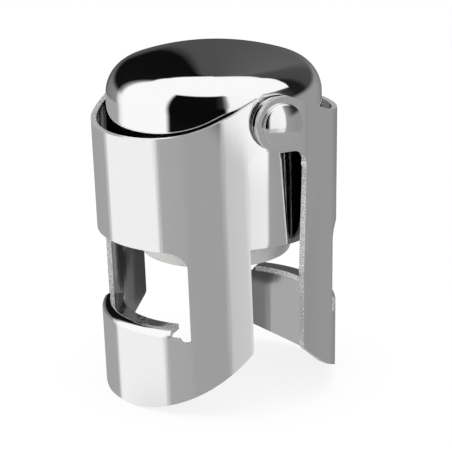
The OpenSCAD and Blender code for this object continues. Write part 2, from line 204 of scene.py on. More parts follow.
def weld(points, quads):
    """Points that share a place become one, and quads with a corner twice become triangles."""
    places = np.round(points / SAME_PLACE).astype(np.int64)
    _, first, back = np.unique(places, axis=0, return_index=True, return_inverse=True)
    quads = back.reshape(-1)[quads]
    twice = quads == np.roll(quads, 1, axis=1)
    folded, at = quads[twice.sum(axis=1) == 1], twice[twice.sum(axis=1) == 1].argmax(axis=1)
    # A corner that repeats the one before it is left out, and the last if the first repeats it
    left_out = np.where(at > 0, at, 3)[:, None]
    triangles = folded[np.arange(4) != left_out].reshape(-1, 3)
    return points[first], quads[~twice.any(axis=1)].tolist() + triangles.tolist()


def outward(points, faces):
    """The faces of a closed shape, turned round if the volume that they enclose comes out negative."""
    fan = np.array([(f[0], f[k], f[k + 1]) for f in faces for k in range(1, len(f) - 1)])
    a, b, c = (points[fan[:, k]] for k in range(3))
    volume = np.einsum("ij,ij->i", a, np.cross(b, c)).sum()
    return [f[::-1] for f in faces] if volume < 0 else faces


def turned(profile, closed=False, around=192):
    """A profile of (radius, height) carried round the Z axis: x = r cos a, y = r sin a, z = height."""
    a = np.linspace(0, 2 * pi, around + 1)
    a[-1] = 0.0
    if closed:
        profile = np.concatenate([profile, profile[:1]])
    r, z = profile[:, :1], profile[:, 1:]
    points = np.stack([r * np.cos(a), r * np.sin(a), z + 0 * a], axis=-1).reshape(-1, 3)
    points, faces = weld(points, grid_faces(len(profile), around + 1))
    return points, outward(points, faces)


def on_hinge_line(points, side):
    """Points drawn about +Z, moved so that +Z points outwards along the hinge line on that side of Y."""
    x, y, z = points.T
    return np.stack([x, side * z, HINGE_Z + side * y], axis=1)


def mesh_object(name, points, faces, body, material, replaces=()):
    """A piece of the stopper from points and faces, smooth, riding on its body."""
    mesh = bpy.data.meshes.new(name)
    mesh.from_pydata(points.tolist(), [], faces)
    mesh.shade_smooth()
    mesh.update()
    piece = bpy.data.objects.new(name, mesh)
    bpy.context.scene.collection.objects.link(piece)
    mesh.materials.append(material)
    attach(piece, body)
    if replaces:
        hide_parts(*replaces)
    return piece


def round_edges(piece, width, angle=radians(35), segments=3):
    """Bevels the sharp edges and keeps the faces beside them flat in the light."""
    bevel = piece.modifiers.new("edge_round", "BEVEL")
    bevel.width = width
    bevel.segments = segments
    bevel.limit_method = "ANGLE"
    bevel.angle_limit = angle
    bevel.harden_normals = True


# Sheet metal of the clamps


class ClampEdges(NamedTuple):
    """Where one clamp's sheet ends, in metres and radians."""

    edge_x: float  # the leg's edge, from the hinge line
    slant: float  # how far that edge is drawn back low down
    foot_rise: float  # the foot's corner at the leg's edge, above its level stretch
    foot_radius: float
    foot_flat: float  # half of the foot's level stretch
    rim_drop: float  # the rim's middle, below the hinge line
    rim_slope: float
    shoulder: float  # how far the sloping rim passes clear of the ear's round


FRONT_EDGES = ClampEdges(
    edge_x=5.2 * MM, slant=0.0, foot_rise=10.2 * MM, foot_radius=47 * MM, foot_flat=4.5 * MM,
    rim_drop=2.1 * MM, rim_slope=radians(24.6), shoulder=0.4 * MM)
REAR_EDGES = ClampEdges(
    edge_x=4.6 * MM, slant=1 * MM, foot_rise=9.05 * MM, foot_radius=120 * MM, foot_flat=1.5 * MM,
    rim_drop=1.5 * MM, rim_slope=radians(22), shoulder=0.1 * MM)


class ClampSheet:
    """One clamp as a bent sheet, drawn on the -X side with the hinge line through the origin.

    A point of the sheet is (s, z): s runs along the plan's outer line from the middle of the half round
    to the ears, negative on the -Y side, and z is the height above the hinge line.
    """

    # Window and lip, in half widths and heights above the foot, and the rounds of rim, slot and leg
    window_half, window_top, window_corner, notch = 14 * MM, 27.2 * MM, 2.5 * MM, 0.7 * MM
    lip_half, lip_top, lip_bend, lip_width = 11.4 * MM, 14.2 * MM, 1.3 * MM, 3.6 * MM
    rim_blend, slot_corner, leg_corner = 30 * MM, 2.6 * MM, 1.2 * MM
    # The flare: the bend at the ear, and the angle at which the wall leans in where the flare dies out
    flare_bend, flare_fade = 3 * MM, radians(4)
    # The lean starts this far above the slot's side, softly, and meets the half round softly
    lean_start, lean_soft, join_soft = 0.5 * MM, 0.3 * MM, 0.08 * MM
    # The leg's slanted edge: where it starts and ends, and how far from the edge the sheet gives way
    slant_top, slant_low, slant_reach = -7 * MM, -27 * MM, 6 * MM
    # The mesh: step along the plan, steps of the table, slack of a leg's edge, rows and points
    step, table_steps, tiny = 0.45 * MM, 20000, 1e-7
    foot_rows, window_rows, band_rows, rim_rows = 26, 22, 28, 16
    quarter_points, notch_points, shelf_points, lip_points = 13, 17, 9, 8

    def __init__(self, sizes, edges, flared):
        self.sizes, self.flared = sizes, flared
        (self.edge_x, self.slant, self.foot_rise, self.foot_radius, self.foot_flat,
         self.rim_drop, self.rim_slope, self.shoulder) = edges
        radius, offset, ear = sizes.clamp_radius, sizes.clamp_offset, sizes.ear_radius
        self.lean_top = self.lean_start - ear - self.slot_corner
        if flared:
            # Half round, flared wall, bend and outer ear, each as (radius or None, turn or length)
            bend, flare = self.flare_bend, sizes.flare
            centre_y = sizes.rear_ear - bend
            centre_x = (centre_y * cos(flare) + bend - radius) / sin(flare) - offset
            wall = (centre_x + offset + (radius - bend) * sin(flare)) / cos(flare)
            runs = [(radius, pi / 2 - flare), (None, wall), (bend, flare), (None, ear - centre_x)]
        else:
            runs = [(radius, pi / 2), (None, offset + ear)]
        self.runs = runs
        self.length = sum(r * t if r else t for r, t in runs)
        fine = np.linspace(0, self.length, self.table_steps + 1)
        self.table = fine, self.plan(fine)[0]
        self.set_foot()

    def plan(self, s):
        """Place and outward direction on the plan's outer line.

        The line is walked run by run. On a round of radius r the heading turns by ds / r, on a straight
        it stays, and the place is the sum of the steps along the heading.
        """
        side, s = np.sign(s), np.abs(s)
        x = np.full_like(s, -self.sizes.clamp_offset - self.sizes.clamp_radius)
        y = np.zeros_like(s)
        heading = np.zeros_like(s)
        start, turn = 0.0, 0.0
        for radius, extent in self.runs:
            length = radius * extent if radius else extent
            step = np.clip(s - start, 0, length)
            if radius:
                to = turn + step / radius
                x += radius * (np.cos(turn) - np.cos(to))
                y += radius * (np.sin(to) - np.sin(turn))
                heading = np.where(s > start, to, heading)
                turn += extent
            else:
                x += step * np.sin(turn)
                y += step * np.cos(turn)
            start += length
        return x, side * y, -np.cos(heading), side * np.sin(heading)

    def s_at_x(self, x):
        """Where on the plan's line a given x lies, read from a fine table."""
        return np.interp(x, self.table[1], self.table[0])

    def s_at_y(self, y):
        """Where on the half round a given y lies: radius times the angle whose sine is y / radius."""
        return self.sizes.clamp_radius * np.arcsin(y / self.sizes.clamp_radius)

    def rim(self, x):
        """Height of the upper edge: level, then a long arc, then a slope, then the ear's round."""
        ear = self.sizes.ear_radius
        line_at_0 = (ear + self.shoulder) / cos(self.rim_slope)
        corner = -(line_at_0 + self.rim_drop) / tan(self.rim_slope)
        start = corner - self.rim_blend * tan(self.rim_slope / 2)
        end = start + self.rim_blend * sin(self.rim_slope)
        blend = self.rim_blend - self.rim_drop - np.sqrt(
            self.rim_blend**2 - np.clip(x - start, 0, self.rim_blend * sin(self.rim_slope)) ** 2)
        slope = line_at_0 + x * tan(self.rim_slope)
        round_top = np.sqrt(np.clip(ear**2 - np.clip(x, 0, ear) ** 2, 0, None))
        return np.where(x < end, blend, np.minimum(slope, round_top))

    def set_foot(self):
        """Centre of the foot's arc, through the end of its level stretch and the leg's corner."""
        x1 = -self.sizes.clamp_offset - sqrt(self.sizes.clamp_radius**2 - self.foot_flat**2)
        x2 = -self.edge_x
        half = sqrt((x2 - x1) ** 2 + self.foot_rise**2) / 2
        tilt = np.arctan2(self.foot_rise, x2 - x1)
        lift = sqrt(self.foot_radius**2 - half**2)
        self.foot_x = (x1 + x2) / 2 - lift * sin(tilt)
        self.foot_z = -self.sizes.leg_drop + self.foot_rise / 2 + lift * cos(tilt)
        self.corner_x = -self.edge_x - self.leg_corner
        reach = self.foot_radius - self.leg_corner
        self.corner_z = self.foot_z - sqrt(reach**2 - (self.corner_x - self.foot_x) ** 2)
        self.corner_from = self.corner_x + self.leg_corner * (self.corner_x - self.foot_x) / reach

    def foot(self, x):
        """Height of the lower edge: level in the middle, then an arc, then the leg's round corner."""
        arc_z = self.foot_z - np.sqrt(self.foot_radius**2 - (x - self.foot_x) ** 2)
        over = np.clip(self.leg_corner**2 - (x - self.corner_x) ** 2, 0, None)
        corner = self.corner_z - np.sqrt(over)
        return np.where(x > self.corner_from, corner, np.maximum(arc_z, -self.sizes.leg_drop))

    def ear_low(self, x):
        """Height of the ear's lower edge: the slot's round corner, a level line, the ear's round."""
        ear, corner = self.sizes.ear_radius, self.slot_corner
        from_x = corner - self.edge_x
        fillet = -ear - corner + np.sqrt(np.clip(corner**2 - (x - from_x) ** 2, 0, None))
        round_low = -np.sqrt(np.clip(ear**2 - np.clip(x, 0, ear) ** 2, 0, None))
        return np.where(x < from_x, fillet, round_low)

    def window_top_z(self, y):
        """Height of the window's upper edge: level, with a quarter round at each side."""
        top = -self.sizes.leg_drop + self.window_top
        over = np.clip(np.abs(y) - self.window_half + self.window_corner, 0, self.window_corner)
        return top - self.window_corner + np.sqrt(self.window_corner**2 - over**2)

    def lip_root_z(self, y):
        """Height where the lip's bend starts, with a half-round notch at each lower window corner."""
        across = np.abs(y) - self.window_half + self.notch
        dip = np.sqrt(np.clip(self.notch**2 - across**2, 0, None))
        return -self.sizes.leg_drop + self.lip_top - self.lip_bend - dip

    def lean(self, x, y, z):
        """Distance from the middle plane after the flare has died out.

        The flared wall leans in below the ears by its depth times a tangent, and the half round takes
        over where it lies further out: the larger of the two, with a soft corner between them.
        """
        radius, offset = self.sizes.clamp_radius, self.sizes.clamp_offset
        start = -offset - radius * sin(self.sizes.flare)
        depth = self.lean_top - z
        soft_depth = (depth + np.hypot(depth, self.lean_soft)) / 2
        back = tan(self.flare_fade) / cos(self.sizes.flare) * soft_depth
        wall = np.abs(y) - back
        round_y = np.sqrt(np.clip(radius**2 - (x + offset) ** 2, 0, None))
        larger = (wall + round_y + np.hypot(wall - round_y, self.join_soft)) / 2
        on_leg = (x > start) & (x < -self.edge_x + self.tiny)
        return np.where(on_leg, np.minimum(larger, np.abs(y)), np.abs(y))

    def patch(self, s, low, high, rows):
        """A part of the upright sheet: for each s, points at equal steps from low to high."""
        t = np.linspace(0, 1, rows + 1)[:, None]
        z = (1 - t) * low + t * high + 0 * s
        x, y = self.plan(self.slanted(s + 0 * z, z))[:2]
        if self.flared:
            y = np.sign(y) * self.lean(x, y, z)
        return np.stack([x, y, z], axis=-1)

    def slanted(self, s, z):
        """Places along the plan, drawn back from a leg's edge by the slant, which grows down the leg."""
        x = self.plan(s)[0]
        down = np.clip((self.slant_top - z) / (self.slant_top - self.slant_low), 0, 1)
        near = np.clip(1 + (x + self.edge_x) / self.slant_reach, 0, 1) * (x < -self.edge_x + self.tiny)
        moved = np.sign(s) * self.s_at_x(x - self.slant * down * near)
        return np.where(down * near * self.slant > 0, moved, s)

    def lip(self, s):
        """The lip: up along a quarter round of the bend's radius, then level inwards."""
        x, y, nx, ny = self.plan(s)
        a = np.linspace(0, pi / 2, self.quarter_points)[:, None]
        bend_in, bend_up = self.lip_bend * (1 - np.cos(a)), self.lip_bend * np.sin(a)
        flat_in = np.linspace(self.lip_bend, self.lip_width, self.lip_points)[1:, None]
        inwards = np.concatenate([bend_in, flat_in])
        z = -self.sizes.leg_drop + self.lip_top - self.lip_bend
        z = z + np.concatenate([bend_up, np.full_like(flat_in, self.lip_bend)])
        return np.stack([x - inwards * nx, y - inwards * ny, z + 0 * s], axis=-1)

    def surface(self):
        """The whole outer surface: patches that share their borders, welded into one mesh."""
        step, ear = self.step, self.sizes.ear_radius
        quarter = np.linspace(0, pi / 2, self.quarter_points)
        lip_end = self.s_at_y(self.lip_half)
        lip_s = np.linspace(0, lip_end, int(lip_end / step) + 1)
        shelf = self.window_half - 2 * self.notch
        shelf_s = self.s_at_y(np.linspace(self.lip_half, shelf, self.shelf_points))
        notch_turn = np.linspace(0, pi, self.notch_points)
        notch_s = self.s_at_y(shelf + self.notch * (1 - np.cos(notch_turn)))
        band_s = np.concatenate([lip_s, shelf_s[1:], notch_s[1:]])
        leg_to = self.s_at_x(self.corner_x)
        leg_s = np.linspace(notch_s[-1], leg_to, int((leg_to - notch_s[-1]) / step) + 1)
        leg_s = np.concatenate([leg_s, self.s_at_x(self.corner_x + self.leg_corner * np.sin(quarter))[1:]])
        slot_x = self.slot_corner - self.edge_x - self.slot_corner * np.cos(quarter)
        level_x = np.linspace(slot_x[-1], 0, self.shelf_points)[1:]
        ear_x = np.concatenate([slot_x, level_x, ear * np.sin(quarter)[1:]])
        ear_s = self.s_at_x(ear_x)
        ear_s[0] = leg_s[-1]
        window_side = -self.sizes.leg_drop + self.window_top - self.window_corner
        slot_side = -ear - self.slot_corner
        sheets = []
        # Across the middle: below the window, the lip, above the window, up to the rim
        s = mirrored(band_s)
        x, y = self.plan(s)[:2]
        sheets.append(self.patch(s, self.foot(x), self.lip_root_z(y), self.foot_rows))
        sheets.append(self.patch(s, self.window_top_z(y), slot_side, self.band_rows))
        sheets.append(self.patch(s, slot_side, self.rim(x), self.rim_rows))
        sheets.append(self.lip(mirrored(lip_s)))
        # The legs and the ears, on the -Y side and on the +Y side
        for side in (-1, 1):
            s = side * leg_s[::side]
            x = self.plan(s)[0]
            root = self.lip_root_z(self.window_half)
            sheets.append(self.patch(s, self.foot(x), root, self.foot_rows))
            sheets.append(self.patch(s, root, window_side, self.window_rows))
            sheets.append(self.patch(s, window_side, slot_side, self.band_rows))
            sheets.append(self.patch(s, slot_side, self.rim(x), self.rim_rows))
            s = side * ear_s[::side]
            x = self.plan(s)[0]
            sheets.append(self.patch(s, self.ear_low(x), self.rim(x), self.rim_rows))
        quads, first = [], 0
        for sheet in sheets:
            rows, columns = sheet.shape[:2]
            quads.append(grid_faces(rows, columns, first))
            first += rows * columns
        return weld(np.concatenate([sheet.reshape(-1, 3) for sheet in sheets]), np.concatenate(quads))


def build_clamp(node, sheet, swing, turn_round):
    """A clamp from its outer surface, turned to its rest angle, given its thickness and round edges.

    Its outside, its inside and its sheared edges have a material each, and the inside's chrome is darkened as
    painted shade between clamp and cap.
    """
    points, faces = sheet.surface()
    place = Matrix.Translation((0, 0, HINGE_Z)) @ Matrix.Rotation(swing, 4, "Y")
    if turn_round:
        place = place @ Matrix.Rotation(pi, 4, "Z")
    place = np.array(place)
    points = points @ place[:3, :3].T + place[:3, 3]
    outside = chrome_material("clamp_chrome", streaks=1.0)
    # Painted shade: the inside's chrome is darkened to under half its tone, standing in for the shade between
    # clamp and cap
    inside = chrome_material("clamp_inside_painted_shade_chrome", tone=0.45, dull=3.0, streaks=1.6)
    piece = mesh_object(f"{node}_sheet", points, faces, f"{node}_body", outside, [node])
    wall = piece.modifiers.new("sheet", "SOLIDIFY")
    wall.thickness = sheet.sizes.clamp_sheet
    wall.offset = -1
    wall.use_even_offset = True
    wall.use_quality_normals = True
    wall.material_offset, wall.material_offset_rim = 1, 2
    piece.data.materials.append(inside)
    piece.data.materials.append(edge_material())
    round_edges(piece, sheet.sizes.edge_round)
    return piece


# Materials


def new_material(name):
    """An empty node material with a Principled shader, as (material, nodes, links, shader)."""
    material = bpy.data.materials.new(name)
    material.use_nodes = True
    nodes, links = material.node_tree.nodes, material.node_tree.links
    nodes.clear()
    shader = nodes.new("ShaderNodeBsdfPrincipled")
    out = nodes.new("ShaderNodeOutputMaterial")
    links.new(shader.outputs["BSDF"], out.inputs["Surface"])
    return material, nodes, links, shader


def object_noise(nodes, links, scale, detail=3.0, roughness=0.5, stretch=None):
    """A noise on Object coordinates, which may be drawn out along Z by a stretch."""
    place = nodes.new("ShaderNodeTexCoord").outputs["Object"]
    if stretch:
        mapping = nodes.new("ShaderNodeMapping")
        mapping.inputs["Scale"].default_value = (1, 1, 1 / stretch)
        links.new(place, mapping.inputs["Vector"])
        place = mapping.outputs["Vector"]
    noise = nodes.new("ShaderNodeTexNoise")
    noise.inputs["Scale"].default_value = scale
    noise.inputs["Detail"].default_value = detail
    noise.inputs["Roughness"].default_value = roughness
    links.new(place, noise.inputs["Vector"])
    return noise.outputs["Fac"]


def spread(nodes, links, source, low, high):
    """The source's range from 0.3 to 0.7 carried onto low to high."""
    node = nodes.new("ShaderNodeMapRange")
    node.inputs["From Min"].default_value = 0.3
    node.inputs["From Max"].default_value = 0.7
    node.inputs["To Min"].default_value = low
    node.inputs["To Max"].default_value = high
    links.new(source, node.inputs["Value"])
    return node.outputs["Result"]


def shade(colour, share):
    """A share of the colour, or more than the whole of it, at most white."""
    return [min(1.0, share * c) for c in colour]


def mixed(nodes, links, factor, a, b):
    """From a to b by the factor, where each is a socket or a colour."""
    node = nodes.new("ShaderNodeMix")
    node.data_type = "RGBA"
    links.new(factor, node.inputs["Factor"])
    for key, value in (("A", a), ("B", b)):
        if isinstance(value, bpy.types.NodeSocket):
            links.new(value, node.inputs[key])
        else:
            node.inputs[key].default_value = (*value, 1)
    return node.outputs["Result"]


def bump(nodes, links, source, distance, shader, strength):
    """A bump of that height, in metres, on the shader's normal."""
    node = nodes.new("ShaderNodeBump")
    node.inputs["Strength"].default_value = strength
    node.inputs["Distance"].default_value = distance
    links.new(source, node.inputs["Height"])
    links.new(node.outputs["Normal"], shader.inputs["Normal"])


def chrome_material(name, tone=1.0, dull=1.0, streaks=0.0):
    """Mirror chrome: gloss that varies where it was handled, over upright streaks or a slight ripple.

    tone is a share of the plating's colour, where a low share is painted shade; dull multiplies its
    roughness, and streaks their bump.
    """
    if name in bpy.data.materials:
        return bpy.data.materials[name]
    finish = bpy.context.scene.stopper_finish
    material, nodes, links, shader = new_material(name)
    shader.inputs["Base Color"].default_value = (*shade(finish.chrome, tone), 1)
    shader.inputs["Metallic"].default_value = 1.0
    smear = object_noise(nodes, links, 90, 4.0, 0.6)
    low, high = finish.polish * 0.7 * dull, finish.polish * 1.5 * dull
    links.new(spread(nodes, links, smear, low, high), shader.inputs["Roughness"])
    if streaks:
        skin, strength = object_noise(nodes, links, 900, stretch=40), 0.6 * streaks
    else:
        skin, strength = object_noise(nodes, links, 55, 1.0), 0.5
    bump(nodes, links, skin, 0.03 * MM, shader, strength)
    return material


def edge_material():
    """The sheet's sheared edge under its plating: pale, with a fine darker speckle."""
    if "sheared_edge" in bpy.data.materials:
        return bpy.data.materials["sheared_edge"]
    finish = bpy.context.scene.stopper_finish
    material, nodes, links, shader = new_material("sheared_edge")
    shader.inputs["Metallic"].default_value = 0.5
    speckle = object_noise(nodes, links, 7000, 1.0)
    share = spread(nodes, links, speckle, 0.0, 1.6)
    tone = mixed(nodes, links, share, shade(finish.chrome, 0.35), shade(finish.chrome, 1.08))
    links.new(tone, shader.inputs["Base Color"])
    links.new(spread(nodes, links, speckle, 0.2, 0.3), shader.inputs["Roughness"])
    bump(nodes, links, speckle, 0.03 * MM, shader, 0.6)
    return material


def steel_material():
    """Plain steel: a fine even grain, satin."""
    finish = bpy.context.scene.stopper_finish
    material, nodes, links, shader = new_material("satin_steel")
    shader.inputs["Metallic"].default_value = 1.0
    grain = object_noise(nodes, links, 900)
    tone = mixed(nodes, links, grain, shade(finish.steel, 0.85), finish.steel)
    links.new(tone, shader.inputs["Base Color"])
    links.new(spread(nodes, links, grain, 0.24, 0.38), shader.inputs["Roughness"])
    bump(nodes, links, grain, 0.01 * MM, shader, 0.6)
    return material


def rubber_material():
    """Pale grey rubber: slight mottling, a fine moulded skin and a soft sheen."""
    finish = bpy.context.scene.stopper_finish
    material, nodes, links, shader = new_material("seal_rubber")
    mottle = object_noise(nodes, links, 160, 4.0)
    tone = mixed(nodes, links, mottle, shade(finish.rubber, 0.93), shade(finish.rubber, 1.05))
    links.new(tone, shader.inputs["Base Color"])
    links.new(spread(nodes, links, mottle, 0.42, 0.55), shader.inputs["Roughness"])
    skin = object_noise(nodes, links, 2600, 2.0)
    bump(nodes, links, skin, 0.02 * MM, shader, 0.5)
    return material


def plastic_material():
    """Moulded white plastic: an even satin with the faint flow of the mould."""
    finish = bpy.context.scene.stopper_finish
    material, nodes, links, shader = new_material("moulded_plastic")
    flow = object_noise(nodes, links, 120)
    tone = mixed(nodes, links, flow, shade(finish.plastic, 0.95), finish.plastic)
    links.new(tone, shader.inputs["Base Color"])
    links.new(spread(nodes, links, flow, 0.3, 0.42), shader.inputs["Roughness"])
    skin = object_noise(nodes, links, 1800, 2.0)
    bump(nodes, links, skin, 0.01 * MM, shader, 0.4)
    return material


# Operators


class STOPPER_OT_cap(bpy.types.Operator):
    """Make the drawn cap"""

    bl_idname = "stopper.cap"
    bl_label = "Cap"

    def execute(self, context):
        sizes = context.scene.stopper_sizes
        radius, wall, edge = sizes.cap_diameter / 2, sizes.cap_wall, sizes.crown_edge
        low, top = CAP_LOW[2], CAP_HIGH[2]
        centre_z = top - sizes.crown_radius
        edge_r = radius - edge
        touch = np.degrees(np.arcsin(edge_r / (sizes.crown_radius - edge)))
        edge_z = centre_z + sqrt((sizes.crown_radius - edge) ** 2 - edge_r**2)
        lip = 0.2 * MM

        def shell(inset):
            # From the pole down the crown, round the edge and down the wall
            return joined(
                arc((0, centre_z), sizes.crown_radius - inset, 90, 90 - touch, 40),
                arc((edge_r, edge_z), edge - inset, 90 - touch, 0, 36),
                line((radius - inset, edge_z), (radius - inset, low + lip), 24))

        foot = joined(
            arc((radius - lip, low + lip), lip, 0, -90, 5),
            arc((radius - wall + lip, low + lip), lip, -90, -180, 5))
        profile = joined(shell(0), foot, shell(wall)[::-1])
        points, faces = turned(profile, around=256)
        mesh_object("cap_shell", points, faces, "cap_body", chrome_material("cap_chrome"), ["dome_cap"])
        return {"FINISHED"}


class STOPPER_OT_clamps(bpy.types.Operator):
    """Make both clamps from bent sheet"""

    bl_idname = "stopper.clamps"
    bl_label = "Clamps"

    def execute(self, context):
        sizes = context.scene.stopper_sizes
        front_swing, rear_swing = radians(-1.8), radians(0.4)
        build_clamp("front_clamp", ClampSheet(sizes, FRONT_EDGES, flared=False), front_swing, False)
        build_clamp("rear_clamp", ClampSheet(sizes, REAR_EDGES, flared=True), rear_swing, True)
        return {"FINISHED"}


class STOPPER_OT_rivets(bpy.types.Operator):
    """Make the rivets and the washers between the ears"""

    bl_idname = "stopper.rivets"
    bl_label = "Rivets"

    def execute(self, context):
        sizes = context.scene.stopper_sizes
        head, shank, tail, tail_h = sizes.rivet_head, 2 * MM, 2.8 * MM, 0.8 * MM
        end, start = RIVET_HIGH[1], RIVET_LOW[1]
        head_h, upright, edge = 1.4 * MM, 0.5 * MM, 0.1 * MM
        seat, tail_top = end - head_h, start + tail_h
        # The dome ends some degrees short of the rim, and a small bevel leads down to the upright
        short_of_rim, step_in, step_down = 1.5, 0.02 * MM, 0.03 * MM
        dome_h = head_h - upright
        dome = (head**2 + dome_h**2) / (2 * dome_h)
        half = np.degrees(np.arcsin(head / dome))
        profile = joined(
            arc((0, end - dome), dome, 90, 90 - half + short_of_rim, 30),
            line((head - step_in, seat + upright - step_down), (head, seat + upright - edge)),
            line((head, seat + upright - edge), (head, seat + edge)),
            line((head - edge, seat), (shank, seat), 3),
            line((shank, seat), (shank, tail_top), 8),
            line((shank, tail_top), (tail, tail_top), 3),
            arc((tail - edge, start + edge), edge, 0, -90, 3),
            line((tail - edge, start), (0, start), 4))
        points, faces = turned(profile, around=96)
        bore, rim, inner, outer = 2.06 * MM, 4.1 * MM, 19.05 * MM, 19.85 * MM
        washer = np.array([(bore, inner), (rim, inner), (rim, outer), (bore, outer)])
        ring_points, ring_faces = turned(washer, closed=True, around=96)
        for side, word in ((-1, "near"), (1, "far")):
            rivet = mesh_object(f"{word}_rivet_turned", on_hinge_line(points, side), faces, "cap_body",
                                chrome_material("rivet_chrome", tone=0.97, dull=2.0),
                                [f"{word}_rivet"])
            round_edges(rivet, 0.08 * MM, radians(50), 2)
            ring = mesh_object(f"{word}_ear_washer_turned", on_hinge_line(ring_points, side), ring_faces,
                               "cap_body", chrome_material("washer_chrome"), [f"{word}_ear_washer"])
            round_edges(ring, 0.08 * MM, segments=2)
        return {"FINISHED"}


class STOPPER_OT_seal(bpy.types.Operator):
    """Make the moulded seal"""

    bl_idname = "stopper.seal"
    bl_label = "Seal"

    def execute(self, context):
        radius = context.scene.stopper_sizes.seal_radius
        low, high = SEAL_LOW[2], SEAL_HIGH[2]
        face, inner, hole = 2.6 * MM, radius - 1.8 * MM, 1.55 * MM
        edge, upper_edge = 0.6 * MM, 0.2 * MM
        recess_r, recess_h = 4.9 * MM, 1.9 * MM
        profile = joined(
            arc((radius - edge, low + edge), edge, -90, 0, 8),
            line((radius, low + edge), (radius, high - upper_edge), 10),
            arc((radius - upper_edge, high - upper_edge), upper_edge, 0, 90, 4),
            line((radius - upper_edge, high), (inner, high), 3),
            line((inner, high), (inner, low + face), 4),
            line((inner, low + face), (hole, low + face), 8),
            line((hole, low + face), (hole, low + recess_h), 2),
            line((hole, low + recess_h), (recess_r, low + recess_h), 5),
            line((recess_r, low + recess_h), (recess_r, low), 4),
            line((recess_r, low), (radius - edge, low), 10))
        points, faces = turned(profile[:-1], closed=True)
        seal = mesh_object("seal_moulded", points, faces, "plunger_body", rubber_material(), ["seal"])
        round_edges(seal, 0.15 * MM, segments=2)
        return {"FINISHED"}


class STOPPER_OT_spring(bpy.types.Operator):
    """Make the coil spring inside the cap"""

    bl_idname = "stopper.spring"
    bl_label = "Spring"

    def execute(self, context):
        turns = context.scene.stopper_sizes.spring_turns
        wire, coil, closed = 0.6 * MM, 7.8 * MM, 0.75
        steps_per_turn, steps_round_wire, pitch_per_wire = 48, 12, 1.05
        low, high = SPRING_LOW[2] + wire, SPRING_HIGH[2] - wire
        end_rise = closed * 2 * wire * pitch_per_wire
        t = np.linspace(0, turns, turns * steps_per_turn + 1)[:, None]
        # The coil's height: almost flat at each end, an even climb between
        z = np.interp(t, [0, closed, turns - closed, turns], [low, low + end_rise, high - end_rise, high])
        b = np.linspace(0, 2 * pi, steps_round_wire + 1)
        b[-1] = 0
        # Round wire carried along a helix, with both ends drawn to a point
        size = np.ones_like(t) * wire
        t = np.concatenate([t[:1], t, t[-1:]])
        z = np.concatenate([z[:1], z, z[-1:]])
        size = np.concatenate([[[0]], size, [[0]]])
        r = coil + size * np.cos(b)
        points = np.stack([r * np.cos(2 * pi * t), r * np.sin(2 * pi * t), z + size * np.sin(b)], axis=-1)
        points, faces = weld(points.reshape(-1, 3), grid_faces(len(t), len(b)))
        wire_object = mesh_object("spring_wire", points, outward(points, faces), "cap_body",
                                  bpy.data.materials["satin_steel"], ["pressure_spring"])
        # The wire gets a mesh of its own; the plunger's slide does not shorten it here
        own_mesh(wire_object)
        return {"FINISHED"}


class STOPPER_OT_inner_finishes(bpy.types.Operator):
    """Give the pieces inside the cap their materials"""

    bl_idname = "stopper.inner_finishes"
    bl_label = "Inner finishes"

    def execute(self, context):
        steel, plastic = steel_material(), plastic_material()
        finishes = dict.fromkeys(("near_spacer", "far_spacer", "near_burr", "far_burr", "spring_plate",
                                  "seal_washer", "seal_screw"), steel)
        finishes |= dict.fromkeys(("inner_sleeve", "plunger", "retaining_ring"), plastic)
        for node, material in finishes.items():
            piece = frame["nodes"][node]
            piece.data.materials.clear()
            piece.data.materials.append(material)
            join = piece.modifiers.new("join", "WELD")
            join.merge_threshold = 1e-6
            round_edges(piece, 0.06 * MM, radians(45), 2)
        return {"FINISHED"}


